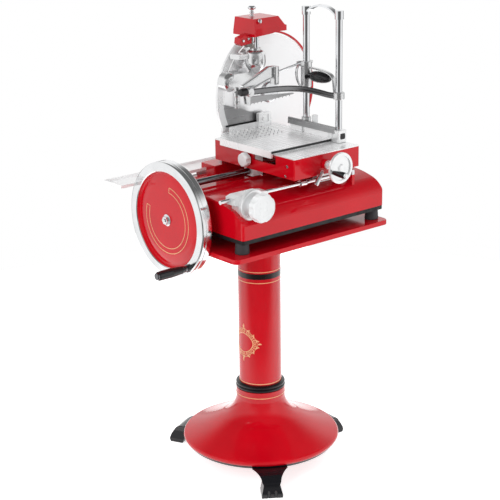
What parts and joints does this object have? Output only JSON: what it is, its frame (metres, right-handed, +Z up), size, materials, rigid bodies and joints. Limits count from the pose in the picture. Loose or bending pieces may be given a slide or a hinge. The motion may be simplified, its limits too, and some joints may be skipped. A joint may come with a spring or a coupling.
{
  "type": "hand crank meat slicer",
  "caption": "Red flywheel meat slicer on a round cast pedestal with claw feet, with a sliding carriage, product clamp, round blade and blade sharpener.",
  "frame": {"origin": "on the floor, at the axis of the pedestal column", "axes": "+X along the base away from the flywheel, +Y towards the blade and slice tray side, +Z up"},
  "size_m": [0.841, 0.6402, 1.424],
  "materials": {
    "red_paint": "gloss enamel",
    "black_paint": "gloss enamel",
    "bright_steel": "polished",
    "chrome": "mirror",
    "cast_alloy": "satin",
    "black_plastic": "gloss",
    "pale_plastic": "satin",
    "rubber": "matte",
    "dark_paint": "satin",
    "abrasive": "rough",
    "table_steel": "brushed"
  },
  "bodies": {
    "stand": {"claw_base": "black_paint", "bell_base": "red_paint", "collar_ring": "black_paint", "column": "red_paint", "column_flange": "red_paint", "tray": "red_paint", "flange_bolts": "bright_steel", "rubber_feet": "rubber", "base_pan": "dark_paint", "base_housing": "red_paint", "guide_bar": "chrome", "slice_tray": "bright_steel", "shaft_bearings": "bright_steel", "blade_bracket": "red_paint", "blade_guard": "cast_alloy", "guard_shield": "cast_alloy", "guard_ring": "red_paint", "bridge_casting": "cast_alloy", "drive_chain": "bright_steel", "sharpener_post": "chrome", "thickness_housing": "cast_alloy", "stroke_rod": "chrome"},
    "flywheel": {"flywheel_rim": "chrome", "flywheel_disc": "red_paint", "main_shaft": "bright_steel", "drive_pinion": "bright_steel", "bevel_gear": "bright_steel", "handle_bolt": "chrome"},
    "wheel_handle": {"crank_grip": "black_plastic"},
    "crank": {"crank_gear": "bright_steel"},
    "con_rod": {"connecting_rod": "bright_steel"},
    "cross": {"cross_shaft": "bright_steel"},
    "cutter": {"blade": "bright_steel", "blade_shaft": "bright_steel"},
    "carriage": {"carriage_box": "red_paint", "carriage_deck_plate": "table_steel", "bar_bushes": "cast_alloy"},
    "table": {"table_plate": "table_steel", "table_slide": "cast_alloy", "rear_fence": "cast_alloy", "post_carrier": "cast_alloy", "clamp_posts": "chrome", "post_hoop": "chrome"},
    "feed": {"feed_handwheel": "chrome"},
    "feed_handle": {"handwheel_grip": "black_plastic"},
    "clamp": {"clamp_head": "cast_alloy", "clamp_grip": "black_plastic", "clamp_arm": "cast_alloy", "clamp_spindle": "chrome", "arm_knob": "black_plastic"},
    "latch": {"post_latch": "chrome"},
    "presser": {"presser_bar": "bright_steel"},
    "dial": {"thickness_knob": "pale_plastic"},
    "lock": {"lock_knob": "pale_plastic"},
    "lever": {"feed_lever": "chrome"},
    "sharpener": {"sharpener_body": "cast_alloy", "sharpener_cover": "red_paint", "sharpener_knobs": "chrome"},
    "stone_a": {"sharpening_stone": "abrasive"},
    "stone_b": {"truing_stone": "abrasive"}
  },
  "joints": [
    {"name": "flywheel_turn", "type": "hinge", "parent": "stand", "child": "flywheel", "pos_m": [-0.326, 0.01, 0.848], "axis": [1, 0, 0], "continuous": true},
    {"name": "handle_spin", "type": "hinge", "parent": "flywheel", "child": "wheel_handle", "pos_m": [-0.4, -0.09124, 0.72735], "axis": [1, 0, 0], "continuous": true},
    {"name": "crank_turn", "type": "hinge", "parent": "stand", "child": "crank", "pos_m": [-0.06, 0.01, 0.88], "axis": [0, 0, 1], "continuous": true},
    {"name": "rod_turn", "type": "hinge", "parent": "crank", "child": "con_rod", "pos_m": [0.01998, 0.09946, 0.89], "axis": [0, 0, 1], "continuous": true},
    {"name": "cross_turn", "type": "hinge", "parent": "stand", "child": "cross", "pos_m": [0.191, 0.08, 0.848], "axis": [0, 1, 0], "continuous": true},
    {"name": "blade_turn", "type": "hinge", "parent": "stand", "child": "cutter", "pos_m": [0.191, 0.168, 1.128], "axis": [0, 1, 0], "continuous": true},
    {"name": "carriage_slide", "type": "slide", "parent": "stand", "child": "carriage", "axis": [1, 0, 0], "range_m": [-0.17, 0.04]},
    {"name": "table_feed", "type": "slide", "parent": "carriage", "child": "table", "axis": [0, 1, 0], "range_m": [-0.11, 0]},
    {"name": "handwheel_turn", "type": "hinge", "parent": "carriage", "child": "feed", "pos_m": [0.075, -0.285, 0.985], "axis": [0, 1, 0], "range_deg": [-3970, 10]},
    {"name": "handwheel_grip_spin", "type": "hinge", "parent": "feed", "child": "feed_handle", "pos_m": [0.03955, -0.31, 0.97875], "axis": [0, 1, 0], "continuous": true},
    {"name": "clamp_slide", "type": "slide", "parent": "table", "child": "clamp", "axis": [0, 0, 1], "range_m": [-0.08, 0.12]},
    {"name": "latch_turn", "type": "hinge", "parent": "clamp", "child": "latch", "pos_m": [0.174, -0.001, 1.237], "axis": [0, 1, 0], "range_deg": [0, 12]},
    {"name": "presser_turn", "type": "hinge", "parent": "clamp", "child": "presser", "pos_m": [-0.048, -0.012, 1.156], "axis": [0, 1, 0], "range_deg": [0, 20]},
    {"name": "dial_turn", "type": "hinge", "parent": "stand", "child": "dial", "pos_m": [-0.214, -0.26, 0.918], "axis": [0, 1, 0], "range_deg": [0, 270]},
    {"name": "lock_turn", "type": "hinge", "parent": "carriage", "child": "lock", "pos_m": [-0.06, -0.016, 0.986], "axis": [1, 0, 0], "range_deg": [0, 180]},
    {"name": "lever_turn", "type": "hinge", "parent": "carriage", "child": "lever", "pos_m": [0.048, -0.225, 0.966], "axis": [0, 1, 0], "range_deg": [-15, 10]},
    {"name": "sharpener_slide", "type": "slide", "parent": "stand", "child": "sharpener", "axis": [0, 0, 1], "range_m": [-0.006, 0.012]},
    {"name": "stone_spin", "type": "hinge", "parent": "sharpener", "child": "stone_a", "pos_m": [0.112, 0.152, 1.296], "axis": [0, 1, 0], "continuous": true},
    {"name": "truing_spin", "type": "hinge", "parent": "sharpener", "child": "stone_b", "pos_m": [0.112, 0.182, 1.296], "axis": [0, 1, 0], "continuous": true}
  ],
  "couplings": [
    {"joint": "crank_turn", "follows": "flywheel_turn", "ratio": 0.5},
    {"joint": "rod_turn", "follows": "flywheel_turn", "ratio": -0.5},
    {"joint": "cross_turn", "follows": "flywheel_turn", "ratio": 1.5},
    {"joint": "blade_turn", "follows": "flywheel_turn", "ratio": 2.25},
    {"joint": "handwheel_turn", "follows": "table_feed", "rad_per_m": 628.32}
  ]
}
